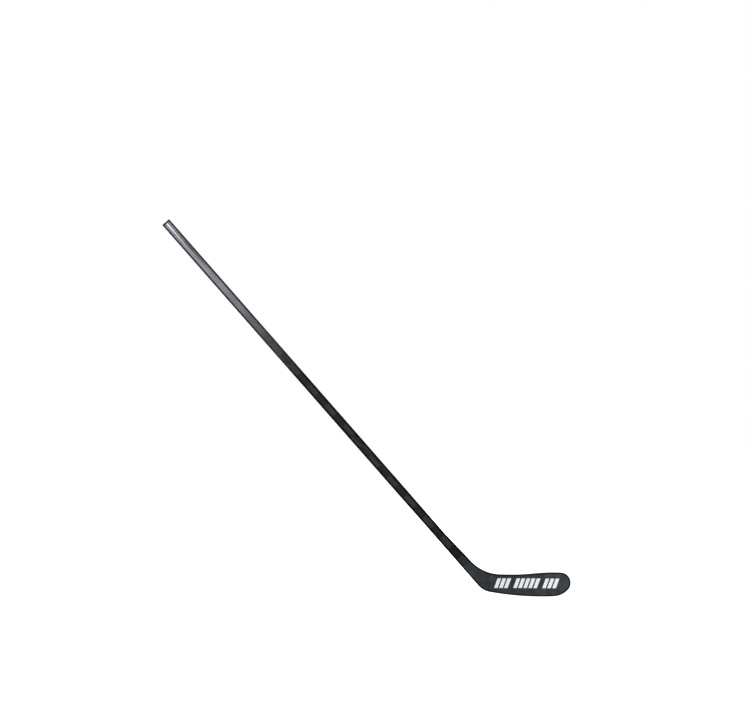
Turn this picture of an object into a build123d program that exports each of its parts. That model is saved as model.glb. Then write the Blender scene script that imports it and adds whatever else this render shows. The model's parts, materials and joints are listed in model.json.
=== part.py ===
from build123d import *
from math import atan2, cos, degrees, pi, radians, sin, tan
import os

# An ice hockey stick in its playing attitude, in millimetres. The blade stands on the plane z = 0,
# the shaft rises towards -X, and the toe points to +X and curls towards -Y.
# The origin is the heel point, where the line of the shaft's underside meets the ice.

# ---- Shaft ----
STICK_LENGTH = 1524.0  # along the underside, from the heel point to the butt
LIE_ANGLE = 48.75  # between the shaft and the ice
SHAFT_HEIGHT = 28.0  # across a wide face, in the plane of the blade
SHAFT_WIDTH = 19.4  # from wide face to wide face, before the dish and corners take 0.4 off
SHAFT_CORNER = 4.5
SHAFT_DISH = 0.4  # how far each wide face is hollowed in its middle
WEAVE_PLY = 0.3
TUBE_WALL = 1.4
BORE = WEAVE_PLY + TUBE_WALL  # depth of the bore's wall below the shaft's surface
SMALLEST_CORNER = 1.0

# ---- End plug ----
PLUG_FLANGE = 4.0
PLUG_SEAT_GAP = 0.3  # seam between the flange and the end of the tube
PLUG_EDGE_CHAMFER = 0.8
PLUG_STEM_LENGTH = 52.0
PLUG_STEM_GAP = 0.9  # between the stem's walls and the bore
PLUG_STEM_WALL = 1.9
PLUG_RIB_HEIGHT = 0.5
PLUG_RIB_WIDTH = 1.6
PLUG_RIB_PITCH = 6.5
PLUG_RIB_LEAD_IN = 6.0  # plain stretch of stem at each end of the ribs
GLUE_PAD_LENGTH = 30.0
GLUE_PAD_WIDTH = 3.2
GLUE_PAD_THICKNESS = 0.45

# ---- Neck, where the blade is fused to the shaft ----
SPLICE_AT = 235.0  # end of the constant shaft, measured along the underside
NECK_FOOT_AT = 117.0  # end of the straight flare, where the throat begins
NECK_FOOT_HEIGHT = 32.8
NECK_FOOT_DISH = 0.02
NECK_WALL = 1.5
TENON_LENGTH = 68.0
TENON_GLUE = 0.25
TENON_CHAMFER = 1.2

# ---- Blade, seen from the side ----
ROCKER_RADIUS = 870.0
ROCKER_LOW_X = 160.0  # where the blade touches the ice
ROCKER_HEEL_ANGLE = 9.6
ROCKER_TOE_ANGLE = 2.4
HEEL_RADIUS = 62.0
TOE_LOW_X = 226.4  # corner under the toe
TOE_LOW_RADIUS = 64.0
NOSE_X = 254.6
NOSE_RADIUS = 31.5
NOSE_LOW_Z = 29.4
NOSE_TOP_Z = 74.9
CREST = (180.0, 75.4)  # highest stretch of the top edge
CREST_RADIUS = 450.0
DIP = (97.0, 67.2)  # lowest stretch of the top edge
DIP_RADIUS = 600.0
THROAT_Z = 69.0
THROAT_RADIUS = 127.0

# ---- Blade, seen from above ----
HEEL_HALF_THICKNESS = 7.6
TOE_HALF_THICKNESS = 3.1
TAPER_START_X = -45.0
TAPER_EASE = 0.75
CURVE_START_X = 25.0
CURVE_DEPTH = 30.0  # how far the toe stands forward of the shaft's plane
PLAN_START_X = -110.0
PLAN_END_X = 270.0
PLAN_STEPS = 19
BLADE_EDGE_RADIUS = 2.0
SKIN = 1.2
EDGE_BAND = 2.0

# ---- Blade's cores ----
HEEL_CORE_END_X = 12.0
RIB_THICKNESS = 1.6
RIB_Z = 39.0

# ---- Printed bars ----
GRAPHIC_FILM = 0.12
BAR_LOW_Z = 26.0
BAR_HEIGHT = 30.0
BAR_WIDTH = 11.0
BAR_PITCH = 15.5
BAR_LEAN = 11.0  # how far a bar leans over its height
BAR_CORNER = 1.0
BAR_GROUPS = ((19.0, 3), (78.0, 5), (167.0, 3))  # each group's start and its number of bars

# ---- Lengths of cutting tools, all larger than the blade ----
HALF_SPAN = 60.0
TALL = 200.0

UP_SHAFT = Vector(-cos(radians(LIE_ANGLE)), 0, sin(radians(LIE_ANGLE)))
ACROSS = Vector(sin(radians(LIE_ANGLE)), 0, cos(radians(LIE_ANGLE)))
FLARE_ANGLE = degrees(atan2(NECK_FOOT_HEIGHT - SHAFT_HEIGHT, SPLICE_AT - NECK_FOOT_AT))
TUBE_END_AT = STICK_LENGTH - PLUG_FLANGE - PLUG_SEAT_GAP


# ---- Sections square to the shaft ----
def station(along, height=SHAFT_HEIGHT):
    """Plane square to the shaft, centred in a section of that height."""
    return Plane(origin=UP_SHAFT * along + ACROSS * (height / 2), x_dir=ACROSS, z_dir=UP_SHAFT)


def section(height, width, corner, dish):
    """Rounded oblong whose two wide faces are hollowed by the dish."""
    x, y = height / 2, width / 2
    low_side = ThreePointArc((-x, -y), (0, dish - y), (x, -y))
    high_side = ThreePointArc((x, y), (0, y - dish), (-x, y))
    face = make_face([low_side, Line((x, -y), (x, y)), high_side, Line((-x, y), (-x, -y))])
    return fillet(face.vertices(), max(corner, SMALLEST_CORNER))


def shaft_section(depth):
    """The shaft's section at a depth below its surface."""
    return section(SHAFT_HEIGHT - 2 * depth, SHAFT_WIDTH - 2 * depth, SHAFT_CORNER - depth, SHAFT_DISH)


def neck_foot_section(depth):
    """The neck's lower section at a depth below its surface."""
    width = 2 * (HEEL_HALF_THICKNESS - depth)
    return section(NECK_FOOT_HEIGHT - 2 * depth, width, BLADE_EDGE_RADIUS - depth, NECK_FOOT_DISH)


def shaft_length(profile, start, end):
    """A straight stretch of a profile between two places along the shaft."""
    return extrude(station(start) * profile, end - start)


def neck_body(depth):
    """The flared neck at a depth below its surface, from its foot up to the splice."""
    foot = station(NECK_FOOT_AT, NECK_FOOT_HEIGHT) * neck_foot_section(depth)
    head = station(SPLICE_AT) * shaft_section(depth)
    return loft([foot, head], ruled=True)


# ---- Blade outlines ----
def meet(point_a, angle_a, point_b, angle_b):
    """Where two lines cross, each given by a point and an angle."""
    slope_a, slope_b = tan(radians(angle_a)), tan(radians(angle_b))
    x = (point_b[1] - point_a[1] + slope_a * point_a[0] - slope_b * point_b[0]) / (slope_a - slope_b)
    return (x, point_a[1] + slope_a * (x - point_a[0]))


def rocker_point(angle):
    """The point of the rocker's arc where its tangent has that angle."""
    x = ROCKER_LOW_X + ROCKER_RADIUS * sin(radians(angle))
    return (x, ROCKER_RADIUS * (1 - cos(radians(angle))))


def side_outline(inset):
    """The blade seen from the side, below the neck's foot, drawn in by the inset."""
    top = NECK_FOOT_AT + inset
    height = NECK_FOOT_HEIGHT - inset * tan(radians(FLARE_ANGLE))
    underside_top = UP_SHAFT * top
    flare_top = underside_top + ACROSS * height
    flare_line = ((flare_top.X, flare_top.Z), FLARE_ANGLE - LIE_ANGLE)
    heel_line = (rocker_point(-ROCKER_HEEL_ANGLE), -ROCKER_HEEL_ANGLE)
    toe_line = (rocker_point(ROCKER_TOE_ANGLE), ROCKER_TOE_ANGLE)
    toe_low_z = toe_line[0][1] + (TOE_LOW_X - toe_line[0][0]) * tan(radians(ROCKER_TOE_ANGLE))
    corners = (
        (meet((0, 0), -LIE_ANGLE, *heel_line), HEEL_RADIUS),
        (meet(*heel_line, *toe_line), ROCKER_RADIUS),
        ((TOE_LOW_X, toe_low_z), TOE_LOW_RADIUS),
        ((NOSE_X, NOSE_LOW_Z), NOSE_RADIUS),
        ((NOSE_X, NOSE_TOP_Z), NOSE_RADIUS),
        (CREST, CREST_RADIUS),
        (DIP, DIP_RADIUS),
        (meet(*flare_line, (0, THROAT_Z), 0), THROAT_RADIUS),
    )
    first, last = (underside_top.X, underside_top.Z), flare_line[0]
    edge = FilletPolyline(first, *[point for point, _ in corners], last, radius=[r for _, r in corners])
    outline = make_face([*edge.edges(), Line(last, first)])
    return offset(outline, -inset) if inset else outline


def side_prism(outline):
    """An outline seen from the side, taken right through the blade's thickness."""
    return extrude(Plane.XZ.offset(HALF_SPAN) * outline, -2 * HALF_SPAN)


# ---- Blade layers, seen from above ----
def blade_half_thickness(x):
    """Eases from the heel's thickness to the toe's on a cosine."""
    run = min(max((x - TAPER_START_X) / (NOSE_X - TAPER_START_X), 0), 1)
    ease = (1 + cos(pi * run**TAPER_EASE)) / 2
    return TOE_HALF_THICKNESS + (HEEL_HALF_THICKNESS - TOE_HALF_THICKNESS) * ease


def blade_curve(x):
    """How far the blade's middle stands from the shaft's plane."""
    run = max(x - CURVE_START_X, 0) / (NOSE_X - CURVE_START_X)
    return -CURVE_DEPTH * run**2


def face_line(side, depth):
    """Line of a blade face (-1 front, +1 back) at a depth below its surface, seen from above."""
    step = (PLAN_END_X - PLAN_START_X) / PLAN_STEPS
    xs = [PLAN_START_X + step * i for i in range(PLAN_STEPS + 1)]
    return Spline(*[(x, blade_curve(x) + side * (blade_half_thickness(x) - depth)) for x in xs])


def blade_layer(near, far):
    """What lies between two face lines, from below the blade to above it."""
    ends = Line(near @ 1, far @ 1), Line(far @ 0, near @ 0)
    return extrude(Plane.XY * make_face([near, ends[0], far, ends[1]]), TALL, both=True)


def blade_body():
    """The whole blade below the neck's foot, with its rounded edges."""
    body = side_prism(side_outline(0)) & blade_layer(face_line(-1, 0), face_line(1, 0))

    def on_rim(edge):
        middle = edge @ 0.5
        crosses = abs((edge % 0.5).Y) > 0.9
        at_neck = middle.dot(UP_SHAFT) > NECK_FOOT_AT - 0.01
        return not crosses and not at_neck

    return fillet(body.edges().filter_by(on_rim), BLADE_EDGE_RADIUS)


# ---- Shaft pieces ----
def shaft_tube():
    """Structural carbon tube with a rounded oblong bore."""
    return shaft_length(shaft_section(WEAVE_PLY) - shaft_section(BORE), SPLICE_AT, TUBE_END_AT)


def shaft_weave_ply():
    """Thin woven outer ply of the shaft."""
    return shaft_length(shaft_section(0) - shaft_section(WEAVE_PLY), SPLICE_AT, TUBE_END_AT)


def bore_strips(centres, width, low_depth, high_depth, start, end):
    """Strips on both wide walls of the bore, between two depths below the shaft's surface."""
    ring = shaft_section(low_depth) - shaft_section(high_depth)
    bands = [Pos(centre, 0) * Rectangle(width, SHAFT_WIDTH) for centre in centres]
    return [shaft_length(strip, start, end) for band in bands for strip in (ring & band).faces()]


def butt_plug():
    """End plug: chamfered flange, hollow stem and low ribs along the stem's wide sides."""
    flange_at = STICK_LENGTH - PLUG_FLANGE
    stem_end = flange_at - PLUG_STEM_LENGTH
    stem_depth = BORE + PLUG_STEM_GAP
    flange = shaft_length(shaft_section(0), flange_at, STICK_LENGTH)
    butt_edges = flange.faces().sort_by(Axis((0, 0, 0), tuple(UP_SHAFT)))[-1].edges()
    flange = chamfer(butt_edges, PLUG_EDGE_CHAMFER)
    walls = shaft_section(stem_depth) - shaft_section(stem_depth + PLUG_STEM_WALL)
    stem = shaft_length(walls, stem_end, flange_at)
    ribs = bore_strips(
        (-PLUG_RIB_PITCH, 0, PLUG_RIB_PITCH),
        PLUG_RIB_WIDTH,
        stem_depth - PLUG_RIB_HEIGHT,
        stem_depth,
        stem_end + PLUG_RIB_LEAD_IN,
        flange_at - PLUG_RIB_LEAD_IN,
    )
    return flange + stem + ribs


def plug_glue_pads():
    """Pads of hot-melt glue on the bore's wide walls, between the plug's ribs."""
    start = STICK_LENGTH - PLUG_FLANGE - PLUG_STEM_LENGTH + PLUG_RIB_LEAD_IN
    centres = (-PLUG_RIB_PITCH / 2, PLUG_RIB_PITCH / 2)
    depths = BORE, BORE + GLUE_PAD_THICKNESS
    return Compound(bore_strips(centres, GLUE_PAD_WIDTH, *depths, start, start + GLUE_PAD_LENGTH))


# ---- Neck pieces ----
def blade_tenon():
    """Dense insert: a root that fills the neck, and a tenon that enters the shaft."""
    tenon = shaft_length(shaft_section(BORE + TENON_GLUE), SPLICE_AT, SPLICE_AT + TENON_LENGTH)
    end_edges = tenon.faces().sort_by(Axis((0, 0, 0), tuple(UP_SHAFT)))[-1].edges()
    return neck_body(WEAVE_PLY + NECK_WALL) + chamfer(end_edges, TENON_CHAMFER)


def tenon_adhesive():
    """Film of epoxy between the tenon and the bore."""
    film = shaft_section(BORE) - shaft_section(BORE + TENON_GLUE)
    return shaft_length(film, SPLICE_AT, SPLICE_AT + TENON_LENGTH - TENON_CHAMFER)


def neck_laminate():
    """Structural laminate round the tenon's root."""
    return neck_body(WEAVE_PLY) - neck_body(WEAVE_PLY + NECK_WALL)


def neck_weave_ply():
    """Woven ply that wraps the neck over the fused joint."""
    return neck_body(0) - neck_body(WEAVE_PLY)


# ---- Blade pieces ----
def graphic_bars(film):
    """Groups of leaning bars, printed on one blade face."""
    bars = []
    for start_x, count in BAR_GROUPS:
        for i in range(count):
            x = start_x + BAR_PITCH * i
            low, high = (x, BAR_LOW_Z), (x + BAR_LEAN, BAR_LOW_Z + BAR_HEIGHT)
            corners = (low, (low[0] + BAR_WIDTH, low[1]), (high[0] + BAR_WIDTH, high[1]), high)
            bar = make_face(Polyline(*corners, close=True))
            bars.append(side_prism(fillet(bar.vertices(), BAR_CORNER)) & film)
    return Compound([solid for bar in bars for solid in bar.solids()])


def blade_pieces():
    """Every piece of the blade, by name."""
    body = blade_body()
    inside = body & blade_layer(face_line(-1, SKIN), face_line(1, SKIN))
    core_space = side_prism(side_outline(EDGE_BAND))
    core = inside & core_space
    heel_space = Pos(HEEL_CORE_END_X - TALL, 0, 0) * Box(2 * TALL, 2 * HALF_SPAN, 2 * TALL)
    foam = core - heel_space
    rib_space = Pos(0, 0, RIB_Z) * Box(4 * TALL, 2 * HALF_SPAN, RIB_THICKNESS)
    above_rib = Pos(0, 0, RIB_Z + TALL) * Box(4 * TALL, 2 * HALF_SPAN, 2 * TALL)
    front_film = blade_layer(face_line(-1, -GRAPHIC_FILM), face_line(-1, 0))
    back_film = blade_layer(face_line(1, 0), face_line(1, -GRAPHIC_FILM))
    return {
        "blade_front_skin": body & blade_layer(face_line(-1, -BLADE_EDGE_RADIUS), face_line(-1, SKIN)),
        "blade_back_skin": body & blade_layer(face_line(1, SKIN), face_line(1, -BLADE_EDGE_RADIUS)),
        "blade_edge_band": inside - core_space,
        "heel_core": core & heel_space,
        "blade_core_upper": (foam & above_rib) - rib_space,
        "blade_core_lower": foam - above_rib - rib_space,
        "blade_rib": foam & rib_space,
        "blade_graphic_front": graphic_bars(front_film),
        "blade_graphic_back": graphic_bars(back_film),
    }


pieces = {
    "shaft_tube": shaft_tube(),
    "shaft_weave_ply": shaft_weave_ply(),
    "butt_plug": butt_plug(),
    "plug_glue_pads": plug_glue_pads(),
    "blade_tenon": blade_tenon(),
    "tenon_adhesive": tenon_adhesive(),
    "neck_laminate": neck_laminate(),
    "neck_weave_ply": neck_weave_ply(),
    **blade_pieces(),
}

os.makedirs("parts", exist_ok=True)
for name, piece in pieces.items():
    export_step(piece, f"parts/{name}.step")
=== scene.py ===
import json
from math import asin, atan, ceil, copysign, cos, pi, radians, sin, sqrt, tan

import bmesh
import bpy
from mathutils import Matrix, Vector


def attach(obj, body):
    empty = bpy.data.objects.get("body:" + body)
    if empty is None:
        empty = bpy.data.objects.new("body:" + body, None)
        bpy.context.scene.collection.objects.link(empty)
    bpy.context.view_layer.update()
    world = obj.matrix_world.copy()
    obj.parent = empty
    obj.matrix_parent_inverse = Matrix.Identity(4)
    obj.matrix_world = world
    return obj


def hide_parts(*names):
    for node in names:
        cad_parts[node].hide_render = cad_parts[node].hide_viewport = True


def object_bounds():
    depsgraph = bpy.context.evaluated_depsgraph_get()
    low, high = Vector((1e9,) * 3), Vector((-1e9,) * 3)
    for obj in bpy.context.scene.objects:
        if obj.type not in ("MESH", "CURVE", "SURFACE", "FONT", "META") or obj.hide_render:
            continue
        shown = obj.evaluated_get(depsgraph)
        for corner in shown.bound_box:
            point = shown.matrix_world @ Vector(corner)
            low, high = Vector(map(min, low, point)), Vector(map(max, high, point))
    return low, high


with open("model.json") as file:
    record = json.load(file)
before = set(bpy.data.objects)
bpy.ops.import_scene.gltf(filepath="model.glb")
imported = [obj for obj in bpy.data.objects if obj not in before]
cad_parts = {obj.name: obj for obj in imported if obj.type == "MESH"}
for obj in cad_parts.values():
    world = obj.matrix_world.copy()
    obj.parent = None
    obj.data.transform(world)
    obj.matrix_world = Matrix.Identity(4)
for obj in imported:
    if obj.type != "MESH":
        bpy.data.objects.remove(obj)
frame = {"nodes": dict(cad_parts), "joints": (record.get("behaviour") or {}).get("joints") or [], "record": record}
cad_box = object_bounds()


# ---- Shaft skin ----
# The outer ply of the shaft: a plain weave of wide flat carbon tows, wrapped once round the tube,
# its wide faces a little hollow so that fingers settle in them, and clear-coated.

mm = 0.001
mounts = {mount["name"]: mount for mount in frame["record"]["mounts"]}
up_shaft = Vector(frame["joints"][0]["axis"])
across = Vector((up_shaft.z, 0, -up_shaft.x))
butt = Vector(mounts["butt_face"]["pos_m"])
stick_length = butt.dot(up_shaft)
shaft_height = 2 * butt.dot(across)
shaft_width = 19.38 * mm
shaft_corner = 4.5 * mm
shaft_dish = 0.4 * mm
weave_ply = 0.3 * mm
splice_at = 235 * mm
plug_flange = 4 * mm
plug_gap = 0.3 * mm
tube_end_at = stick_length - plug_flange - plug_gap
shaft_step = 32 * mm
corner_segments = 7
face_cuts = 9


def station(along, height):
    """Places a section square to the shaft: x across it, y from face to face, z up the shaft."""
    place = Matrix((across, (0, 1, 0), up_shaft)).transposed().to_4x4()
    place.translation = up_shaft * along + across * height / 2
    return place


def add_section(bm, along, height, width, corner, dish, depth=0):
    """Adds one rounded, dished section at a depth below the surface, its points marked round it."""
    place = station(along, height)
    height, width = height - 2 * depth, width - 2 * depth
    low, high = Vector((-height / 2, -width / 2, 0)), Vector((height / 2, width / 2, 0))
    corners = (low, (high.x, low.y, 0), high, (low.x, high.y, 0))
    face = bm.faces.new([bm.verts.new(point) for point in corners])
    rounded = bmesh.ops.bevel(
        bm,
        geom=face.verts[:],
        offset=corner,
        segments=corner_segments,
        profile=0.5,
        affect="VERTICES",
        material=-1,
    )
    face = rounded["verts"][0].link_faces[0]
    sides = [edge for edge in face.edges if edge.calc_length() > width / 3]
    bmesh.ops.subdivide_edges(bm, edges=sides, cuts=face_cuts)
    ring = [loop.vert for loop in face.loops]
    for point in ring:
        hollow = dish * (1 - (2 * point.co.x / height) ** 2)
        point.co.y -= copysign(hollow * abs(2 * point.co.y / width), point.co.y)
    under = min(ring, key=lambda v: (v.co - Vector((-height / 2, 0, 0))).length)
    start = ring.index(under)
    ring = ring[start:] + ring[:start]
    if ring[2].co.y > ring[0].co.y:
        ring = [ring[0]] + ring[:0:-1]
    steps = [(b.co - a.co).length for a, b in zip(ring, ring[1:] + ring[:1])]
    front_middle = min(range(len(ring)), key=lambda i: (ring[i].co - Vector((0, -width / 2, 0))).length)
    layers = bm.verts.layers.float
    for i, point in enumerate(ring):
        point[layers["around"]] = sum(steps[:i]) - sum(steps[:front_middle])
        point[layers["girth"]] = sum(steps)
        point[layers["along"]] = along
        point[layers["past_face"]] = abs(point.co.x) - (height / 2 - shaft_corner)
    edges = face.edges[:]
    bmesh.ops.delete(bm, geom=[face], context="FACES_ONLY")
    bmesh.ops.transform(bm, matrix=place, verts=ring)
    return edges


def new_section_mesh():
    """A mesh whose points carry their place round a section, its girth, their place along the stick,
    and how far they lie past the flat of the shaft's wide face."""
    bm = bmesh.new()
    for layer in ("around", "girth", "along", "past_face"):
        bm.verts.layers.float.new(layer)
    return bm


def unwrap_sleeve(bm):
    """Lays the mesh's UV map out flat in metres: u round the section, v along the stick."""
    uv = bm.loops.layers.uv.new("wrap")
    around, girth, along = (bm.verts.layers.float[layer] for layer in ("around", "girth", "along"))
    for face in bm.faces:
        turns = [loop.vert[around] for loop in face.loops]
        crosses_seam = max(turns) - min(turns) > face.verts[0][girth] / 2
        for loop, turn in zip(face.loops, turns):
            past_seam = crosses_seam and turn < 0
            loop[uv].uv = (turn + loop.vert[girth] if past_seam else turn, loop.vert[along])


def finish_piece(bm, name, material, body="stick", sharp=35):
    """Turns a finished mesh into a piece that rides on its body."""
    mesh = bpy.data.meshes.new(name)
    bm.to_mesh(mesh)
    bm.free()
    mesh.shade_smooth()
    mesh.set_sharp_from_angle(angle=radians(sharp))
    mesh.materials.append(material)
    piece = bpy.data.objects.new(name, mesh)
    bpy.context.scene.collection.objects.link(piece)
    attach(piece, body)
    return piece


def sleeve(name, sections, thickness, material):
    """A closed sleeve through a row of sections, as thick as given, measured inwards."""
    bm = new_section_mesh()
    loops = [add_section(bm, *section) for section in sections]
    for lower, upper in zip(loops, loops[1:]):
        bmesh.ops.bridge_loops(bm, edges=lower + upper)
    bmesh.ops.recalc_face_normals(bm, faces=bm.faces[:])
    unwrap_sleeve(bm)
    bmesh.ops.solidify(bm, geom=bm.faces[:], thickness=thickness)
    return finish_piece(bm, name, material)


def even_steps(start, end, step):
    """Places from start to end, evenly spaced and at most a step apart."""
    count = ceil(abs(end - start) / step)
    return [start + (end - start) * i / count for i in range(count + 1)]


def node(tree, kind, inputs=None, **settings):
    """Adds a shader node, sets it up, and links or sets its inputs by name or number."""
    made = tree.nodes.new(kind)
    for key, value in settings.items():
        setattr(made, key, value)
    for key, value in (inputs or {}).items():
        if isinstance(value, bpy.types.NodeSocket):
            tree.links.new(value, made.inputs[key])
        else:
            made.inputs[key].default_value = value
    return made


def maths(tree, operation, a, b=0.0, c=0.0):
    """One sum in a shader, as its result's socket."""
    return node(tree, "ShaderNodeMath", {0: a, 1: b, 2: c}, operation=operation).outputs[0]


def mixed(tree, factor, a, b):
    """A blend of two colours, as its result's socket."""
    made = node(tree, "ShaderNodeMix", {0: factor, 6: a, 7: b}, data_type="RGBA")
    return made.outputs[2]


def ranged(tree, value, low, high, to_low, to_high, easing="LINEAR"):
    """A value carried from one range to another."""
    inputs = {0: value, 1: low, 2: high, 3: to_low, 4: to_high}
    return node(tree, "ShaderNodeMapRange", inputs, interpolation_type=easing).outputs[0]


def new_group(name, inputs, outputs):
    """An empty shader group with named number inputs and outputs; a place is marked with ^."""
    group = bpy.data.node_groups.new(name, "ShaderNodeTree")
    for names, side in ((inputs, "INPUT"), (outputs, "OUTPUT")):
        for label in names:
            kind = "NodeSocketVector" if label[0] == "^" else "NodeSocketFloat"
            group.interface.new_socket(label.lstrip("^"), in_out=side, socket_type=kind)
    return group, group.nodes.new("NodeGroupInput"), group.nodes.new("NodeGroupOutput")


def use_group(tree, group, **inputs):
    """Places a shader group, with its inputs given by name."""
    placed = node(tree, "ShaderNodeGroup", node_tree=group)
    for key, value in inputs.items():
        socket = placed.inputs[key.replace("_", " ")]
        if isinstance(value, bpy.types.NodeSocket):
            tree.links.new(value, socket)
        else:
            socket.default_value = value
    return placed.outputs


def new_material(name, **settings):
    """A material with one Principled shader, whose plain sockets are set by name."""
    material = bpy.data.materials.new(name)
    material.use_nodes = True
    tree = material.node_tree
    shader = tree.nodes["Principled BSDF"]
    for key, value in settings.items():
        shader.inputs[key.replace("_", " ")].default_value = value
    return material, tree, shader


def make_tow_weave():
    """Plain weave of wide flat tows: which way the top one runs, its fibres, edges and own tone."""
    group, given, out = new_group(
        "tow_weave",
        ("Across", "Along", "Tow Width", "Tow Length"),
        ("Lengthwise", "Tone", "Edge", "Fibre"),
    )
    i = given.outputs
    row = maths(group, "DIVIDE", i["Across"], i["Tow Width"])
    column = maths(group, "DIVIDE", i["Along"], i["Tow Length"])
    row_number, column_number = maths(group, "FLOOR", row), maths(group, "FLOOR", column)
    lengthwise = maths(group, "FLOORED_MODULO", maths(group, "ADD", row_number, column_number), 2.0)
    cell = node(group, "ShaderNodeCombineXYZ", {0: row_number, 1: column_number}).outputs[0]
    tone = node(group, "ShaderNodeTexWhiteNoise", {"Vector": cell}).outputs["Value"]
    to_side = maths(group, "PINGPONG", row, 0.5)
    to_end = maths(group, "PINGPONG", column, 0.5)
    tow_border = 0.03
    edge = ranged(group, maths(group, "MINIMUM", to_side, to_end), 0.0, tow_border, 1.0, 0.0)
    fine, coarse = 2600.0, 22.0
    fibres = []
    for around_scale, along_scale in ((coarse, fine), (fine, coarse)):
        x = maths(group, "MULTIPLY", i["Across"], around_scale)
        y = maths(group, "MULTIPLY", i["Along"], along_scale)
        place = node(group, "ShaderNodeCombineXYZ", {0: x, 1: y}).outputs[0]
        noise = node(group, "ShaderNodeTexNoise", {"Vector": place, "Scale": 1.0, "Detail": 3.0})
        fibres.append(noise.outputs[0])
    crosswise_fibre, lengthwise_fibre = fibres
    kept = maths(group, "SUBTRACT", 1.0, lengthwise)
    crosswise = maths(group, "MULTIPLY", crosswise_fibre, kept)
    fibre = maths(group, "MULTIPLY_ADD", lengthwise_fibre, lengthwise, crosswise)
    for label, socket in (("Lengthwise", lengthwise), ("Tone", tone), ("Edge", edge), ("Fibre", fibre)):
        group.links.new(socket, out.inputs[label])
    return group


def make_handling():
    """Faint smears and dust of a stick that has been handled, as two masks."""
    group, given, out = new_group("handling", ("^Place", "Size"), ("Smear", "Dust"))
    place = given.outputs["Place"]
    scale = maths(group, "DIVIDE", 1.0, given.outputs["Size"])
    smear = node(
        group, "ShaderNodeTexNoise", {"Vector": place, "Scale": scale, "Detail": 4.0, "Roughness": 0.6}
    ).outputs[0]
    dust_scale = 900.0
    dust = node(
        group, "ShaderNodeTexNoise", {"Vector": place, "Scale": dust_scale, "Detail": 2.0}
    ).outputs[0]
    group.links.new(ranged(group, smear, 0.35, 0.7, 0.0, 1.0), out.inputs["Smear"])
    group.links.new(ranged(group, dust, 0.62, 0.75, 0.0, 1.0), out.inputs["Dust"])
    return group


tow_weave = make_tow_weave()
handling = make_handling()


def make_shaft_weave():
    """Clear-coated wide-tow carbon on the sleeve's own UV map, its lengthwise tows painted lighter as painted
    sheen. Its corners, narrow sides and end by the plug are painted near black as painted shade, and the corners
    are rubbed dull where hands hold the stick."""
    material, tree, shader = new_material("shaft_weave", IOR=1.7)
    wrap = node(tree, "ShaderNodeUVMap", uv_map="wrap").outputs[0]
    place = node(tree, "ShaderNodeSeparateXYZ", {0: wrap}).outputs
    row_starts = maths(tree, "ADD", place[0], first_row_start)
    for low, high, drift in row_drifts:
        row_starts = maths(tree, "SUBTRACT", row_starts, ranged(tree, place[1], low, high, drift, 0.0))
    weave = use_group(
        tree,
        tow_weave,
        Across=row_starts,
        Along=maths(tree, "SUBTRACT", place[1], first_tow_start),
        Tow_Width=tow_width,
        Tow_Length=tow_length,
    )
    position = node(tree, "ShaderNodeTexCoord").outputs["Object"]
    wear = use_group(tree, handling, Place=position, Size=0.12)
    tone = ranged(tree, weave["Tone"], 0.0, 1.0, -0.15, 0.15)
    fibre = ranged(tree, weave["Fibre"], 0.3, 0.7, -0.15, 0.15)
    # Painted sheen: lengthwise tows get the lighter colour and crosswise ones the darker, standing in for the
    # sheen that the fibres' direction gives; tone and fibre add random tone and grain.
    bright = maths(tree, "ADD", maths(tree, "ADD", weave["Lengthwise"], tone), fibre)
    near_blade = ranged(tree, place[1], *low_tones, 1.0, 0.0)
    dark = mixed(tree, near_blade, dark_grain_and_shaded_tow, shaded_tow_low)
    light = mixed(tree, near_blade, light_grain_and_sheen_tow, sheen_lit_tow_low)
    carbon = mixed(tree, bright, dark, light)
    carbon = mixed(tree, maths(tree, "MULTIPLY", weave["Edge"], 0.35), carbon, tow_edge)
    # Painted shade: the corners, narrow sides and the last 2 mm by the plug are painted near black, standing in
    # for the dark that the rounded corners and the butt show. by_plug also dulls the roughness there.
    past_face = node(tree, "ShaderNodeAttribute", attribute_name="past_face").outputs["Fac"]
    corner = ranged(tree, past_face, *painted_shade_edge_span, 0.0, 0.95)
    by_plug = ranged(tree, place[1], *painted_shade_end_span, 0.0, 1.0)
    corner = maths(tree, "MAXIMUM", corner, by_plug)
    carbon = mixed(tree, corner, carbon, painted_corner_shade)
    tree.links.new(carbon, shader.inputs["Base Color"])
    rough = ranged(tree, weave["Lengthwise"], 0.0, 1.0, 0.06, 0.045)
    rough = maths(tree, "MULTIPLY_ADD", wear["Smear"], 0.02, rough)
    gripped = ranged(tree, place[1], *grip_start, 0.0, 1.0)
    rubbed = maths(tree, "MULTIPLY", ranged(tree, past_face, *rubbed_edge, 0.0, rubbed_roughness), gripped)
    rubbed = maths(tree, "MAXIMUM", rubbed, maths(tree, "MULTIPLY", by_plug, rubbed_roughness))
    rough = maths(tree, "MAXIMUM", rough, rubbed)
    tree.links.new(rough, shader.inputs["Roughness"])
    relief = maths(tree, "MULTIPLY_ADD", weave["Edge"], -0.6, maths(tree, "MULTIPLY", weave["Fibre"], 0.15))
    bump = node(tree, "ShaderNodeBump", {"Strength": 0.1, "Distance": 0.00002, "Height": relief})
    tree.links.new(bump.outputs[0], shader.inputs["Normal"])
    return material


tow_width = 40.5 * mm
tow_length = 41.7 * mm
first_tow_start = 23.5 * mm
first_row_start = 15 * mm
low_tones = (120 * mm, 300 * mm)
# Spans of the painted shade on the corners and by the plug.
painted_shade_edge_span = (-1.8 * mm, -1.4 * mm)
painted_shade_end_span = (tube_end_at - 2.2 * mm, tube_end_at - 1.8 * mm)
rubbed_edge = (-1.6 * mm, -1.2 * mm)
rubbed_roughness = 0.36
grip_start = (850 * mm, 1050 * mm)
row_drifts = (
    (590 * mm, 790 * mm, 17.8 * mm),
    (300 * mm, 590 * mm, 7 * mm),
    (130 * mm, 300 * mm, 10 * mm),
)
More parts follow.
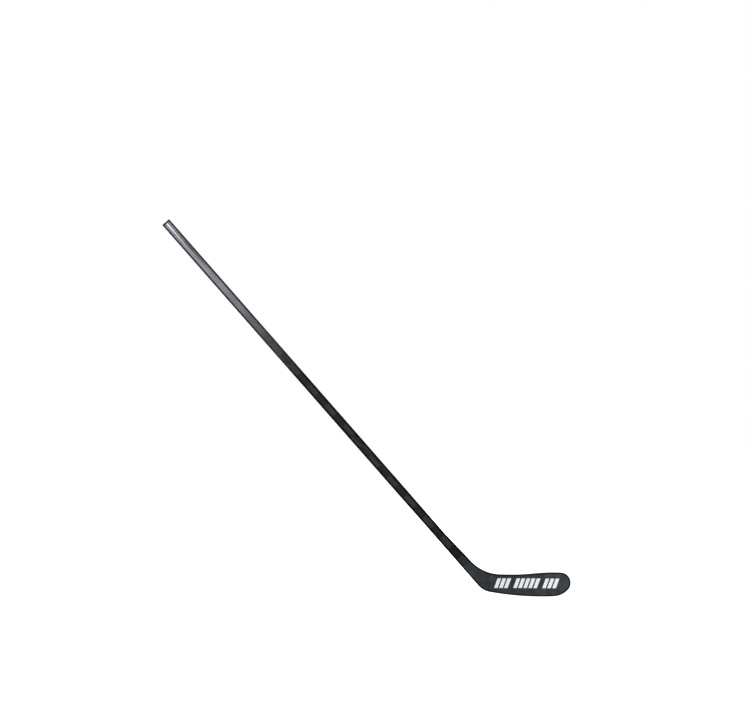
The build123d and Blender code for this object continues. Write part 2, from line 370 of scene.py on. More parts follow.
# Painted sheen: the lighter tow colours are the carbon painted with sheen, and the darker ones are the same carbon
# painted shaded. The bare laminate also uses the first pair as its fibre grain.
dark_grain_and_shaded_tow = (0.0195, 0.0195, 0.0197, 1)
light_grain_and_sheen_tow = (0.0395, 0.0395, 0.0397, 1)
shaded_tow_low = (0.0095, 0.0105, 0.0135, 1)
sheen_lit_tow_low = (0.031, 0.0325, 0.0375, 1)
tow_edge = (0.004, 0.004, 0.0045, 1)
# Near-black painted shade for the corners and the end by the plug.
painted_corner_shade = (0.0012, 0.0012, 0.0014, 1)
shaft_weave = make_shaft_weave()

shaft_sections = [
    (along, shaft_height, shaft_width, shaft_corner, shaft_dish)
    for along in even_steps(splice_at, tube_end_at, shaft_step)
]
shaft_skin = sleeve("shaft_skin", shaft_sections, weave_ply, shaft_weave)
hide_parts("shaft_weave_ply")


# ---- Neck skin ----
# The same weave carried down over the fused joint: it flares in height and thins towards the blade,
# and its corners tighten from the shaft's to the blade's.

neck_foot_at = 117 * mm
neck_foot_height = 32.8 * mm
heel_thickness = 15.2 * mm
blade_edge_radius = 2 * mm
neck_step = 7 * mm


def neck_section(along):
    """The neck's section at a place between its foot and the splice."""
    rise = (along - neck_foot_at) / (splice_at - neck_foot_at)

    def between(foot, head):
        return foot + (head - foot) * rise

    return (
        along,
        between(neck_foot_height, shaft_height),
        between(heel_thickness, shaft_width),
        between(blade_edge_radius, shaft_corner),
        between(0, shaft_dish),
    )


neck_sections = [neck_section(along) for along in even_steps(neck_foot_at, splice_at, neck_step)]
neck_skin = sleeve("neck_skin", neck_sections, weave_ply, shaft_weave)
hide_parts("neck_weave_ply")


# ---- Blade skins ----
# Two laminate faces, satin from the mould, with their fibres at 45 degrees. Each starts at the
# neck's foot, curls with the blade, and rolls over at the rim to meet the edge band.

blade_skin = 1.2 * mm
rim_step = 4 * mm
grid_step = 8 * mm
heel_radius = 62 * mm
rocker_radius = 870 * mm
rocker_low_x = 160 * mm
rocker_heel_slope = -tan(radians(9.6))
rocker_toe_slope = tan(radians(2.4))
toe_low_x = 226.4 * mm
toe_low_radius = 64 * mm
nose_x = 254.6 * mm
nose_radius = 31.5 * mm
nose_low_z = 29.4 * mm
nose_top_z = 74.9 * mm
crest = (180 * mm, 75.4 * mm)
crest_radius = 450 * mm
dip = (97 * mm, 67.2 * mm)
dip_radius = 600 * mm
throat_z = 69 * mm
throat_radius = 127 * mm
taper_start_x = -45 * mm
toe_thickness = 6.2 * mm
taper_ease = 0.75
curve_start_x = 25 * mm
curve_depth = 30 * mm


def half_thickness(x):
    """Half of the blade's thickness, easing from the heel's to the toe's on a cosine."""
    run = min(max((x - taper_start_x) / (nose_x - taper_start_x), 0), 1)
    ease = (1 + cos(pi * run**taper_ease)) / 2
    return (toe_thickness + (heel_thickness - toe_thickness) * ease) / 2


def blade_curve(x):
    """How far the blade's middle stands from the shaft's plane."""
    run = max(x - curve_start_x, 0) / (nose_x - curve_start_x)
    return -curve_depth * run**2


def rocker_line(slope):
    """The rocker's tangent of that slope, as a point and the slope."""
    angle = sqrt(1 + slope * slope)
    x = rocker_low_x + rocker_radius * slope / angle
    return (x, rocker_radius * (1 - 1 / angle)), slope


def meet(line_a, line_b):
    """Where two lines cross, each given as a point and a slope."""
    (ax, az), slope_a = line_a
    (bx, bz), slope_b = line_b
    x = (bz - az + slope_a * ax - slope_b * bx) / (slope_a - slope_b)
    return (x, az + slope_a * (x - ax))


def rounded_corner(before, corner, after, radius):
    """Points of the arc that rounds a corner, close enough together to look smooth."""
    corner = Vector(corner)
    back, on = (Vector(before) - corner).normalized(), (Vector(after) - corner).normalized()
    turn = pi - back.angle(on)
    reach = radius * tan(turn / 2)
    centre = corner + (back + on).normalized() * radius / cos(turn / 2)
    start, end = corner + back * reach - centre, corner + on * reach - centre
    count = max(ceil(turn * radius / rim_step), ceil(turn / radians(6)))
    swing = start.angle_signed(end)
    return [centre + Matrix.Rotation(-swing * i / count, 2) @ start for i in range(count + 1)]


def blade_outline(top):
    """The blade from the side, from the underside of the neck round the toe to the neck's top."""
    underside = up_shaft * top
    flare = (shaft_height - neck_foot_height) / (splice_at - neck_foot_at)
    foot_top = up_shaft * neck_foot_at + across * neck_foot_height
    flare_way = up_shaft + across * flare
    flare_line = ((foot_top.x, foot_top.z), flare_way.z / flare_way.x)
    top_point = foot_top + flare_way * (top - neck_foot_at)
    heel_line, toe_line = rocker_line(rocker_heel_slope), rocker_line(rocker_toe_slope)
    shaft_line = ((0, 0), up_shaft.z / up_shaft.x)
    toe_low_z = toe_line[0][1] + (toe_low_x - toe_line[0][0]) * rocker_toe_slope
    corners = (
        (meet(shaft_line, heel_line), heel_radius),
        (meet(heel_line, toe_line), rocker_radius),
        ((toe_low_x, toe_low_z), toe_low_radius),
        ((nose_x, nose_low_z), nose_radius),
        ((nose_x, nose_top_z), nose_radius),
        (crest, crest_radius),
        (dip, dip_radius),
        (meet(flare_line, ((0, throat_z), 0)), throat_radius),
    )
    path = [(underside.x, underside.z), *[point for point, _ in corners], (top_point.x, top_point.z)]
    outline = [Vector(path[0])]
    for before, (corner, radius), after in zip(path, corners, path[2:]):
        outline += rounded_corner(before, corner, after, radius)
    return outline + [Vector(path[-1])]


def blade_rim(outline):
    """The outline's points, each with the direction that looks out from the blade there."""
    steps = [(b - a).normalized() for a, b in zip(outline, outline[1:])]
    ways = [steps[0], *[a + b for a, b in zip(steps, steps[1:])], steps[-1]]
    return [(point, Vector((way.y, -way.x)).normalized()) for point, way in zip(outline, ways)]


def face_at(x, side):
    """Where a blade face lies, -1 for the front and 1 for the back."""
    return blade_curve(x) + side * half_thickness(x)


def rim_lean(point, outward, side):
    """How far a face leans out towards the rim, as an angle."""
    nudge = 0.01 * mm
    rise = face_at(point.x + nudge, side) - face_at(point.x - nudge, side)
    return atan(side * rise / (2 * nudge) * outward.x)


def seam_turn(lean):
    """How far round the rim's rounding the skin meets the edge band, from the rim itself."""
    return lean + asin(1 - blade_skin * cos(lean) / blade_edge_radius)


def on_rounding(turn, lean):
    """Distance in from the outline, and depth below the face, at a turn round the rim."""
    inward = blade_edge_radius * (1 - cos(turn))
    return inward, blade_edge_radius * (1 - sin(turn - lean)) / cos(lean)


def cut_grid(bm, step):
    """Cuts a flat mesh across and along, so that it can follow the blade's curl."""
    for axis in (0, 2):
        places = [vert.co[axis] for vert in bm.verts]
        for place in even_steps(min(places), max(places), step)[1:-1]:
            point, normal = Vector((0, 0, 0)), Vector((0, 0, 0))
            point[axis], normal[axis] = place, 1
            geometry = bm.verts[:] + bm.edges[:] + bm.faces[:]
            bmesh.ops.bisect_plane(bm, geom=geometry, dist=grid_weld, plane_co=point, plane_no=normal)


def thicken(bm, near, far):
    """Makes a flat mesh a closed layer: its points go to the near height, a copy's to the far one."""
    first = bm.verts[:]
    copied = bmesh.ops.extrude_face_region(bm, geom=bm.faces[:], use_keep_orig=True)
    second = [item for item in copied["geom"] if isinstance(item, bmesh.types.BMVert)]
    for points, height in ((first, near), (second, far)):
        for point in points:
            point.co.y = height(point)
    bmesh.ops.remove_doubles(bm, verts=bm.verts[:], dist=grid_weld)
    bmesh.ops.recalc_face_normals(bm, faces=bm.faces[:])


def cut_at_neck(bm):
    """Cuts the blade square to the shaft at the neck's foot and closes the cut."""
    geometry = bm.verts[:] + bm.edges[:] + bm.faces[:]
    foot = up_shaft * neck_foot_at
    bmesh.ops.bisect_plane(
        bm, geom=geometry, dist=grid_weld, plane_co=foot, plane_no=up_shaft, clear_outer=True
    )
    bmesh.ops.holes_fill(bm, edges=[edge for edge in bm.edges if edge.is_boundary])
    bmesh.ops.recalc_face_normals(bm, faces=bm.faces[:])


def make_blade_skin(name, side, material):
    """One face of the blade (-1 front, 1 back), from its flat inside to its rounded rim."""
    bm = bmesh.new()
    from_rim = bm.verts.layers.float.new("from_rim")
    below_face = bm.verts.layers.float.new("below_face")
    rim = blade_rim(blade_outline(neck_foot_at + blade_overrun))
    rings = [[on_rounding(seam_turn(rim_lean(*place, side)), rim_lean(*place, side)) for place in rim]]
    for part in range(1, rounding_steps + 1):
        ring = []
        for place in rim:
            lean = rim_lean(*place, side)
            start, end = seam_turn(lean), lean + pi / 2
            ring.append(on_rounding(start + (end - start) * part / rounding_steps, lean))
        rings.append(ring)
    rings += [[(inward, 0)] * len(rim) for inward in flat_rings]
    face = bm.faces.new([bm.verts.new((point.x, 0, point.y)) for point, _ in rim])
    for i, ring in enumerate(rings):
        if i > 0:
            bmesh.ops.inset_region(bm, faces=[face], thickness=ring_gap, use_boundary=True)
        for loop, (point, outward), (inward, below) in zip(face.loops, rim, ring):
            settled = point - outward * inward
            loop.vert.co = (settled.x, 0, settled.y)
            loop.vert[from_rim], loop.vert[below_face] = inward, below
    cut_grid(bm, grid_step)

    def inside(point):
        return face_at(point.co.x, side) - side * blade_skin

    def outside(point):
        return face_at(point.co.x, side) - side * point[below_face]

    thicken(bm, inside, outside)
    cut_at_neck(bm)
    return finish_piece(bm, name, material)


def make_diagonal_weave():
    """Satin carbon whose tows cross at 45 degrees, lengthwise tows painted a little lighter as painted sheen,
    black at the rim where the edge band is lapped, which also stands as painted shade for the dark rounded rim.
    """
    material, tree, shader = new_material("blade_satin", Specular_IOR_Level=0.2, IOR=1.5)
    position = node(tree, "ShaderNodeTexCoord").outputs["Object"]
    turned = node(tree, "ShaderNodeMapping", {0: position, "Rotation": (0, radians(45), 0)}).outputs[0]
    place = node(tree, "ShaderNodeSeparateXYZ", {0: turned}).outputs
    weave = use_group(
        tree,
        tow_weave,
        Across=place[0],
        Along=place[2],
        Tow_Width=blade_tow,
        Tow_Length=blade_tow,
    )
    wear = use_group(tree, handling, Place=position, Size=0.03)
    standout = ranged(tree, weave["Tone"], 0.72, 0.95, 0.0, 1.0)
    fibre = ranged(tree, weave["Fibre"], 0.3, 0.7, -0.2, 0.2)
    # Painted sheen: lengthwise tows are painted a little lighter; standout, smear and fibre add random tone, wear
    # and grain.
    bright = maths(tree, "MULTIPLY_ADD", weave["Lengthwise"], 0.3, standout)
    bright = maths(tree, "ADD", bright, maths(tree, "MULTIPLY_ADD", wear["Smear"], 0.25, fibre))
    carbon = mixed(tree, bright, blade_dark, blade_light)
    carbon = mixed(tree, maths(tree, "MULTIPLY", weave["Edge"], 0.25), carbon, blade_seam)
    # Lap and painted shade: the rim is painted band black for its first 5.4 mm, for the lapped band and as painted
    # shade for the dark rounded rim.
    rim = node(tree, "ShaderNodeAttribute", attribute_name="from_rim").outputs["Fac"]
    lap_and_rim_shade = ranged(tree, rim, lap_and_rim_shade_width - lap_and_rim_shade_fade, lap_and_rim_shade_width, 1.0, 0.0)
    carbon = mixed(tree, lap_and_rim_shade, carbon, band_black_and_rim_shade)
    tree.links.new(carbon, shader.inputs["Base Color"])
    rough = maths(tree, "MULTIPLY_ADD", wear["Smear"], 0.1, 0.42)
    tree.links.new(rough, shader.inputs["Roughness"])
    relief = maths(tree, "MULTIPLY_ADD", weave["Edge"], -0.5, maths(tree, "MULTIPLY", weave["Fibre"], 0.3))
    relief = maths(tree, "MULTIPLY_ADD", lap_and_rim_shade, 1.2, relief)
    bump = node(tree, "ShaderNodeBump", {"Strength": 0.3, "Distance": 0.00008, "Height": relief})
    tree.links.new(bump.outputs[0], shader.inputs["Normal"])
    return material


grid_weld = 0.001 * mm
blade_overrun = 8 * mm
rounding_steps = 6
flat_rings = (3 * mm, 4.2 * mm, 5.5 * mm)
ring_gap = 0.1 * mm
blade_tow = 19 * mm
# Width and fade of the painted lap and rim shade.
lap_and_rim_shade_width = 5.4 * mm
lap_and_rim_shade_fade = 0.6 * mm
blade_dark = (0.03, 0.034, 0.039, 1)
blade_light = (0.05, 0.055, 0.062, 1)
blade_seam = (0.012, 0.013, 0.015, 1)
# The band's own black, also painted on the blade's rim as painted shade.
band_black_and_rim_shade = (0.006, 0.0062, 0.007, 1)
blade_satin = make_diagonal_weave()
for skin_name, cad_name, side in (
    ("blade_front", "blade_front_skin", -1),
    ("blade_back", "blade_back_skin", 1),
):
    skin = make_blade_skin(skin_name, side, blade_satin)
    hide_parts(cad_name)


# ---- Edge band ----
# Braided carbon strip that closes the blade all round its rim, between the two skins. It takes the
# knocks from the ice, so it is black and hard, and a little rubbed along the sole.

edge_band = 2 * mm
band_steps = 4


def add_band_section(bm, point, outward):
    """The band's section at one place on the outline: flat inside, rounded outside."""
    section = []
    for side in (-1, 1):
        lean = rim_lean(point, outward, side)
        turns = [seam_turn(lean) * i / band_steps for i in range(band_steps + 1)]
        half = [(edge_band, blade_skin)] + [on_rounding(turn, lean) for turn in reversed(turns)]
        half = half[:-1] if side < 0 else half[::-1]
        for inward, below in half:
            spot = point - outward * inward
            section.append(bm.verts.new((spot.x, face_at(spot.x, side) - side * below, spot.y)))
    return [bm.edges.new(pair) for pair in zip(section, section[1:] + section[:1])]


def make_edge_band(material):
    """The band: one section after another round the outline."""
    bm = bmesh.new()
    rim = blade_rim(blade_outline(neck_foot_at + blade_overrun))
    loops = [add_band_section(bm, point, outward) for point, outward in rim]
    for one, other in zip(loops, loops[1:]):
        bmesh.ops.bridge_loops(bm, edges=one + other)
    cut_at_neck(bm)
    return finish_piece(bm, "blade_band", material)


def make_braid():
    """Black resin-rich braid with a fine diamond relief."""
    material, tree, shader = new_material("band_braid", Specular_IOR_Level=0.25, IOR=1.5)
    position = node(tree, "ShaderNodeTexCoord").outputs["Object"]
    place = node(tree, "ShaderNodeSeparateXYZ", {0: position}).outputs
    strands = []
    for lean in (-1, 1):
        run = maths(tree, "MULTIPLY_ADD", place[1], lean, maths(tree, "ADD", place[0], place[2]))
        wave = maths(tree, "SINE", maths(tree, "MULTIPLY", run, 2 * pi / braid_pitch))
        strands.append(wave)
    diamond = maths(tree, "MAXIMUM", *strands)
    wear = use_group(tree, handling, Place=position, Size=0.05)
    sole = ranged(tree, place[2], 0.0, sole_height, 1.0, 0.0)
    rubbed = maths(tree, "MULTIPLY", sole, wear["Smear"])
    colour = mixed(tree, ranged(tree, diamond, -1.0, 1.0, 0.0, 1.0), band_black_and_rim_shade, band_glint)
    colour = mixed(tree, maths(tree, "MULTIPLY", rubbed, 0.4), colour, band_rubbed)
    tree.links.new(colour, shader.inputs["Base Color"])
    tree.links.new(ranged(tree, wear["Smear"], 0.0, 1.0, 0.32, 0.48), shader.inputs["Roughness"])
    bump = node(tree, "ShaderNodeBump", {"Strength": 0.35, "Distance": 0.00008, "Height": diamond})
    tree.links.new(bump.outputs[0], shader.inputs["Normal"])
    return material


braid_pitch = 2.4 * mm
sole_height = 6 * mm
band_glint = (0.012, 0.0125, 0.0135, 1)
band_rubbed = (0.05, 0.05, 0.052, 1)
band_braid = make_braid()
blade_band = make_edge_band(band_braid)
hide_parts("blade_edge_band")


# ---- Printed bars ----
# Generic leaning bars in three groups, screen-printed in thick white ink on both blade faces.

ink_film = 0.12 * mm
bar_low_z = 26 * mm
bar_height = 30 * mm
bar_width = 11 * mm
bar_pitch = 15.5 * mm
bar_lean = 11 * mm
bar_corner = 1 * mm
bar_groups = ((19 * mm, 3), (78 * mm, 5), (167 * mm, 3))
bar_step = 4 * mm


def make_bars(name, side, material):
    """All the bars of one blade face, as films that follow its curl."""
    bm = bmesh.new()
    starts = [first + bar_pitch * i for first, count in bar_groups for i in range(count)]
    for x in starts:
        corners = ((0, 0), (bar_width, 0), (bar_width + bar_lean, bar_height), (bar_lean, bar_height))
        points = [bm.verts.new((x + over, 0, bar_low_z + rise)) for over, rise in corners]
        bm.faces.new(points)
        bmesh.ops.bevel(
            bm, geom=points, offset=bar_corner, segments=4, profile=0.5, affect="VERTICES", material=-1
        )
    cut_grid(bm, bar_step)

    def on_skin(point):
        return blade_curve(point.co.x) + side * half_thickness(point.co.x)

    def on_ink(point):
        return on_skin(point) + side * ink_film

    thicken(bm, on_skin, on_ink)
    return finish_piece(bm, name, material)


def make_ink():
    """Thick white ink, a little mottled and not quite even in gloss."""
    material, tree, shader = new_material("white_ink", IOR=1.5)
    position = node(tree, "ShaderNodeTexCoord").outputs["Object"]
    wear = use_group(tree, handling, Place=position, Size=0.02)
    colour = mixed(tree, maths(tree, "MULTIPLY", wear["Smear"], 0.25), ink_white, ink_shade)
    colour = mixed(tree, maths(tree, "MULTIPLY", wear["Dust"], 0.15), colour, ink_fleck)
    tree.links.new(colour, shader.inputs["Base Color"])
    tree.links.new(ranged(tree, wear["Smear"], 0.0, 1.0, 0.4, 0.55), shader.inputs["Roughness"])
    bump = node(tree, "ShaderNodeBump", {"Strength": 0.15, "Distance": 0.00003, "Height": wear["Dust"]})
    tree.links.new(bump.outputs[0], shader.inputs["Normal"])
    return material


ink_white = (0.96, 0.96, 0.96, 1)
ink_shade = (0.9, 0.905, 0.91, 1)
ink_fleck = (0.7, 0.7, 0.7, 1)
white_ink = make_ink()
for bars_name, cad_name, side in (
    ("bars_front", "blade_graphic_front", -1),
    ("bars_back", "blade_graphic_back", 1),
):
    bars = make_bars(bars_name, side, white_ink)
    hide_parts(cad_name)


# ---- End plug ----
# Moulded plastic plug: a flange with the shaft's own section and a softened edge, and a hollow
# ribbed stem that is glued into the bore with hot melt.

plug_edge_chamfer = 0.8 * mm
plug_softening = 0.25 * mm
plug_stem_length = 52 * mm
plug_stem_depth = 2.6 * mm
plug_stem_wall = 1.9 * mm
plug_draft = 0.05 * mm
smallest_corner = 1 * mm
plug_rib_height = 0.5 * mm
plug_rib_width = 1.6 * mm
plug_rib_pitch = 6.5 * mm
plug_rib_lead_in = 6 * mm
plug_rib_softening = 0.2 * mm


def make_plug(material):
    """One closed shell: butt face, flange, stem outside, stem end, stem inside and its floor."""
    flange_at = stick_length - plug_flange
    stem_end = flange_at - plug_stem_length
    soft, ease = plug_softening, plug_softening * 0.3
    profile = (
        (stick_length, plug_edge_chamfer + soft),
        (stick_length - ease, plug_edge_chamfer - ease),
        (stick_length - plug_edge_chamfer + ease, ease),
        (stick_length - plug_edge_chamfer - soft, 0),
        (flange_at, 0),
        (flange_at - plug_draft, plug_stem_depth),
        (stem_end, plug_stem_depth),
        (stem_end + plug_draft, plug_stem_depth + plug_stem_wall),
        (flange_at, plug_stem_depth + plug_stem_wall),
    )
    bm = new_section_mesh()
    loops = []
    for along, depth in profile:
        corner = max(shaft_corner - depth, smallest_corner)
        loops.append(add_section(bm, along, shaft_height, shaft_width, corner, shaft_dish, depth))
    for one, other in zip(loops, loops[1:]):
        bmesh.ops.bridge_loops(bm, edges=one + other)
    for end in (loops[0], loops[-1]):
        bmesh.ops.edgeloop_fill(bm, edges=end)
    rib_length = plug_stem_length - 2 * plug_rib_lead_in
    stem_half_width = shaft_width / 2 - plug_stem_depth - shaft_dish
    for side in (-1, 1):
        for i in (-1, 0, 1):
            size = Matrix.Diagonal((plug_rib_width, 3 * plug_rib_height, rib_length, 1))
            place = station((flange_at + stem_end) / 2, shaft_height)
            lift = Vector((i * plug_rib_pitch, side * (stem_half_width - plug_rib_height / 2), 0))
            rib = bmesh.ops.create_cube(bm, matrix=place @ Matrix.Translation(lift) @ size)
            edges = list({edge for vert in rib["verts"] for edge in vert.link_edges})
            bmesh.ops.bevel(
                bm,
                geom=edges,
                offset=plug_rib_softening,
                segments=2,
                profile=0.5,
                affect="EDGES",
                material=-1,
            )
    bmesh.ops.recalc_face_normals(bm, faces=bm.faces[:])
    return finish_piece(bm, "end_plug", material, body="plug")


def make_plug_plastic():
    """Black moulded plastic with a fine spark-eroded texture."""
    material, tree, shader = new_material("plug_plastic", Specular_IOR_Level=0.2, IOR=1.5)
    position = node(tree, "ShaderNodeTexCoord").outputs["Object"]
    grain = node(
        tree, "ShaderNodeTexNoise", {"Vector": position, "Scale": 2200.0, "Detail": 3.0}
    ).outputs[0]
    wear = use_group(tree, handling, Place=position, Size=0.01)
    colour = mixed(tree, maths(tree, "MULTIPLY", wear["Smear"], 0.5), plug_black, plug_scuffed)
    tree.links.new(colour, shader.inputs["Base Color"])
    tree.links.new(ranged(tree, grain, 0.3, 0.7, 0.42, 0.58), shader.inputs["Roughness"])
    bump = node(tree, "ShaderNodeBump", {"Strength": 0.3, "Distance": 0.00005, "Height": grain})
    tree.links.new(bump.outputs[0], shader.inputs["Normal"])
    return material


plug_black = (0.006, 0.006, 0.0065, 1)
plug_scuffed = (0.014, 0.014, 0.015, 1)
end_plug = make_plug(make_plug_plastic())
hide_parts("butt_plug")


# ---- Inner pieces ----
# What the skins hide: the structural tube and neck laminate, the tenon and its glue, the blade's
# cores and rib. They keep their own shapes and are finished as the bare materials that they are.


def make_plain(name, light, dark, grain, rough, relief):
    """A bare material whose colour and surface vary with one size of grain."""
    material, tree, shader = new_material(name, IOR=1.5)
    position = node(tree, "ShaderNodeTexCoord").outputs["Object"]
    noise = node(
        tree, "ShaderNodeTexNoise", {"Vector": position, "Scale": 1 / grain, "Detail": 5.0}
    ).outputs[0]
    spread = ranged(tree, noise, 0.35, 0.65, 0.0, 1.0)
    tree.links.new(mixed(tree, spread, dark, light), shader.inputs["Base Color"])
    tree.links.new(ranged(tree, spread, 0.0, 1.0, rough - 0.08, rough + 0.08), shader.inputs["Roughness"])
    bump = node(tree, "ShaderNodeBump", {"Strength": 0.4, "Distance": relief, "Height": noise})
    tree.links.new(bump.outputs[0], shader.inputs["Normal"])
    return material


def make_bare_laminate():
    """Unpolished carbon laminate, ribbed along the stick by its fibres."""
    material, tree, shader = new_material("bare_laminate", IOR=1.5)
    position = node(tree, "ShaderNodeTexCoord").outputs["Object"]
    turn = up_shaft.angle(Vector((0, 0, 1)))
    laid = node(
        tree, "ShaderNodeMapping", {0: position, "Rotation": (0, turn, 0), "Scale": (1800, 1800, 30)}
    ).outputs[0]
    fibres = node(tree, "ShaderNodeTexNoise", {"Vector": laid, "Scale": 1.0, "Detail": 3.0}).outputs[0]
    spread = ranged(tree, fibres, 0.35, 0.65, 0.0, 1.0)
    tree.links.new(mixed(tree, spread, dark_grain_and_shaded_tow, light_grain_and_sheen_tow), shader.inputs["Base Color"])
    tree.links.new(ranged(tree, spread, 0.0, 1.0, 0.35, 0.55), shader.inputs["Roughness"])
    bump = node(tree, "ShaderNodeBump", {"Strength": 0.4, "Distance": 0.00005, "Height": fibres})
    tree.links.new(bump.outputs[0], shader.inputs["Normal"])
    return material


bare_laminate = make_bare_laminate()
filled_epoxy = make_plain(
    "filled_epoxy", (0.16, 0.14, 0.11, 1), (0.1, 0.085, 0.07, 1), grain=1.5 * mm, rough=0.6, relief=0.0001
)
epoxy_film = make_plain(
    "epoxy_film", (0.62, 0.52, 0.3, 1), (0.5, 0.4, 0.2, 1), grain=6 * mm, rough=0.25, relief=0.00004
)
hot_melt = make_plain(
    "hot_melt", (0.78, 0.72, 0.55, 1), (0.68, 0.6, 0.42, 1), grain=3 * mm, rough=0.4, relief=0.0002
)
core_foam = make_plain(
    "core_foam", (0.84, 0.8, 0.68, 1), (0.66, 0.6, 0.46, 1), grain=0.6 * mm, rough=0.85, relief=0.0002
)
inner_materials = {
    "shaft_tube": bare_laminate,
    "neck_laminate": bare_laminate,
    "blade_rib": bare_laminate,
    "blade_tenon": filled_epoxy,
    "heel_core": filled_epoxy,
    "tenon_adhesive": epoxy_film,
    "plug_glue_pads": hot_melt,
    "blade_core_upper": core_foam,
    "blade_core_lower": core_foam,
}
for inner_name, material in inner_materials.items():
    inner = frame["nodes"][inner_name]
    inner.data.materials.clear()
    inner.data.materials.append(material)


# ---- Studio ----
# A pale floor under the blade, a white surround, two broad soft lights high over the shaft's end, one
# each side, and a panel beside the camera whose reflection fades down the shaft. Sizes are in metres.

view_width = 2.309
lens, sensor = 200, 36
view_distance = view_width * lens / sensor
view_centre = Vector((-0.3513, 0, 0.7403))
key_distance = 7.0
key_size = 2.4
key_power = 600


def add_light(name, way):
    """A soft square light that shines on the middle of the view from a direction."""
    light = bpy.data.lights.new(name, "AREA")
    light.shape = "RECTANGLE"
    light.size, light.size_y, light.energy = key_size, key_size, key_power
    back = way.normalized()
    right = Vector((0, 0, 1)).cross(back).normalized()
    turn = Matrix((right, back.cross(right), back)).transposed().to_4x4()
    lamp = bpy.data.objects.new(name, light)
    lamp.matrix_world = Matrix.Translation(view_centre + back * key_distance) @ turn
    bpy.context.scene.collection.objects.link(lamp)


key_way = up_shaft * 0.64 + Vector((0, -0.77, 0))
add_light("key_front", key_way)
add_light("key_back", Vector((key_way.x, -key_way.y, key_way.z)))


def softbox_pattern(tree):
    """How bright the panel is: it fades downwards, and three bright bands stand at its top."""
    position = node(tree, "ShaderNodeTexCoord").outputs["Object"]
    place = node(tree, "ShaderNodeSeparateXYZ", {0: position}).outputs
    aside, rise = place[0], place[1]

    def eased(value, low, high, to_low, to_high):
        return ranged(tree, value, low, high, to_low, to_high, easing="SMOOTHSTEP")

    fade = maths(tree, "POWER", eased(rise, *panel_fade, 0.0, 1.0), panel_fade_power)
    glow = maths(tree, "MULTIPLY", fade, panel_glow)
    under_bands = maths(
        tree, "MULTIPLY", eased(rise, *shade_foot, 0.0, 1.0), eased(rise, *shade_head, 1.0, 0.0)
    )
    shade = maths(tree, "MULTIPLY", eased(aside, *shade_side, 0.0, shade_depth), under_bands)
    glow = maths(tree, "MULTIPLY", glow, maths(tree, "SUBTRACT", 1.0, shade))
    off_middle = maths(tree, "ABSOLUTE", aside)
    middle = eased(off_middle, *middle_band, middle_glow, gap_glow)
    outer = eased(off_middle, *outer_band, 0.0, outer_glow)
    bands = maths(tree, "MULTIPLY", maths(tree, "ADD", middle, outer), eased(rise, *bands_foot, 0.0, 1.0))
    return maths(tree, "ADD", glow, bands)


def make_softbox():
    """The panel, which glows only to the shaft: the camera doesn't see it."""
    paint = bpy.data.materials.new("softbox_glow")
    paint.use_nodes = True
    tree = paint.node_tree
    tree.nodes.clear()
    light = node(tree, "ShaderNodeEmission", {0: panel_tint, 1: softbox_pattern(tree)}).outputs[0]
    node(tree, "ShaderNodeOutputMaterial", {"Surface": light})
    mesh = bpy.data.meshes.new("softbox")
    bm = bmesh.new()
    bm.faces.new([bm.verts.new((aside, rise, 0)) for aside, rise in panel_corners])
    bm.to_mesh(mesh)
    bm.free()
    mesh.materials.append(paint)
    softbox = bpy.data.objects.new("softbox", mesh)
    facing = Matrix((across, up_shaft, across.cross(up_shaft))).transposed().to_4x4()
    softbox.matrix_world = Matrix.Translation(panel_spot) @ facing
    bpy.context.scene.collection.objects.link(softbox)
    softbox.visible_camera = False


panel_spot = Vector((-1.637, -view_distance, 1.57))
panel_corners = ((-1.3, -1.3), (1.3, -1.3), (1.3, 0.3), (-1.3, 0.3))
panel_tint = (0.86, 0.9, 1.0, 1)
panel_glow = 4.1
panel_fade = (-1.3, -0.4)
panel_fade_power = 1.6
shade_side = (-0.02, -0.3)
shade_depth = 0.86
shade_foot = (-0.4, -0.3)
shade_head = (-0.16, -0.1)
bands_foot = (-0.15, -0.08)
middle_band = (0.2, 0.36)
outer_band = (0.58, 0.74)
middle_glow, gap_glow, outer_glow = 11.0, -3.6, 9.0
make_softbox()


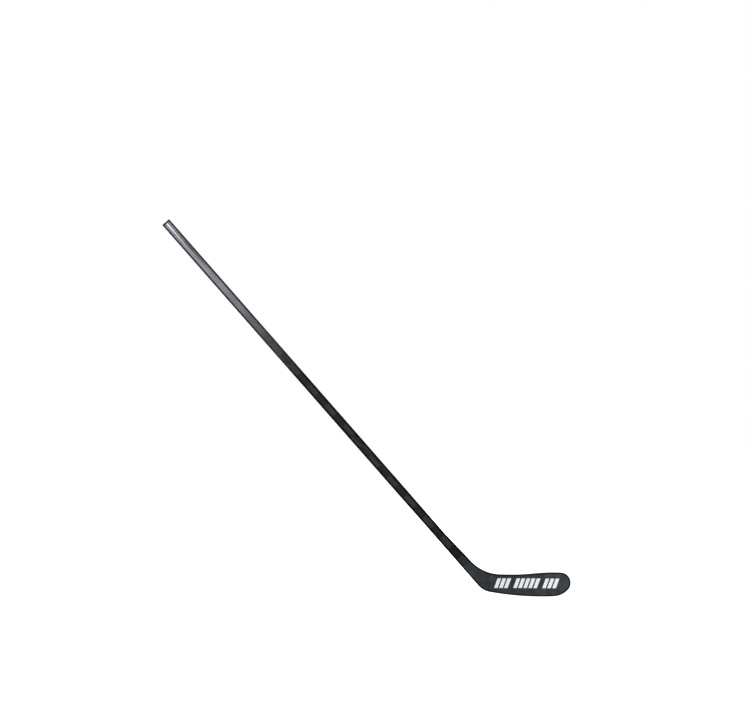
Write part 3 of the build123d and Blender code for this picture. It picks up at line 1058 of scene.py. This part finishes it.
def make_floor():
    """The floor, whose own glow grows with distance, so that it joins the white surround unseen."""
    mesh = bpy.data.meshes.new("floor")
    bm = bmesh.new()
    bmesh.ops.create_grid(bm, x_segments=1, y_segments=1, size=floor_reach)
    bm.to_mesh(mesh)
    bm.free()
    floor = bpy.data.objects.new("floor", mesh)
    floor.location.z = cad_box[0][2] - floor_gap
    bpy.context.scene.collection.objects.link(floor)
    material, tree, shader = new_material("floor_paint", Roughness=0.9, Specular_IOR_Level=0.0)
    shader.inputs["Base Color"].default_value = (0.8, 0.8, 0.8, 1)
    shader.inputs["Emission Color"].default_value = (1, 1, 1, 1)
    place = node(tree, "ShaderNodeTexCoord").outputs["Object"]
    from_heel = node(tree, "ShaderNodeVectorMath", {0: place}, operation="LENGTH").outputs["Value"]
    glow = ranged(tree, from_heel, *floor_glow_range, *floor_glow)
    tree.links.new(glow, shader.inputs["Emission Strength"])
    mesh.materials.append(material)
    floor.visible_glossy = False
    floor.visible_diffuse = False


floor_reach = 20
floor_gap = 0.2 * mm
floor_glow_range = (1.5, 4.0)
floor_glow = (0.8, 1.0)
make_floor()


def make_surround():
    """White where the camera sees it, and a dim cool fill for the stick."""
    world = bpy.data.worlds.new("surround")
    bpy.context.scene.world = world
    world.use_nodes = True
    tree = world.node_tree
    tree.nodes.clear()
    seen = node(tree, "ShaderNodeLightPath").outputs["Is Camera Ray"]
    white = node(tree, "ShaderNodeBackground", {"Color": (1, 1, 1, 1), "Strength": 1.0}).outputs[0]
    fill = {"Color": (0.9, 0.95, 1, 1), "Strength": fill_strength}
    dim = node(tree, "ShaderNodeBackground", fill).outputs[0]
    both = node(tree, "ShaderNodeMixShader", {0: seen, 1: dim, 2: white}).outputs[0]
    node(tree, "ShaderNodeOutputWorld", {"Surface": both})


fill_strength = 0.06
make_surround()

camera_data = bpy.data.cameras.new("camera")
camera_data.lens, camera_data.sensor_width = lens, sensor
camera_data.clip_end = 100
camera = bpy.data.objects.new("camera", camera_data)
camera.location = view_centre - Vector((0, view_distance, 0))
camera.rotation_euler = (pi / 2, 0, 0)
bpy.context.scene.collection.objects.link(camera)
bpy.context.scene.camera = camera
bpy.context.scene.view_settings.view_transform = "Standard"
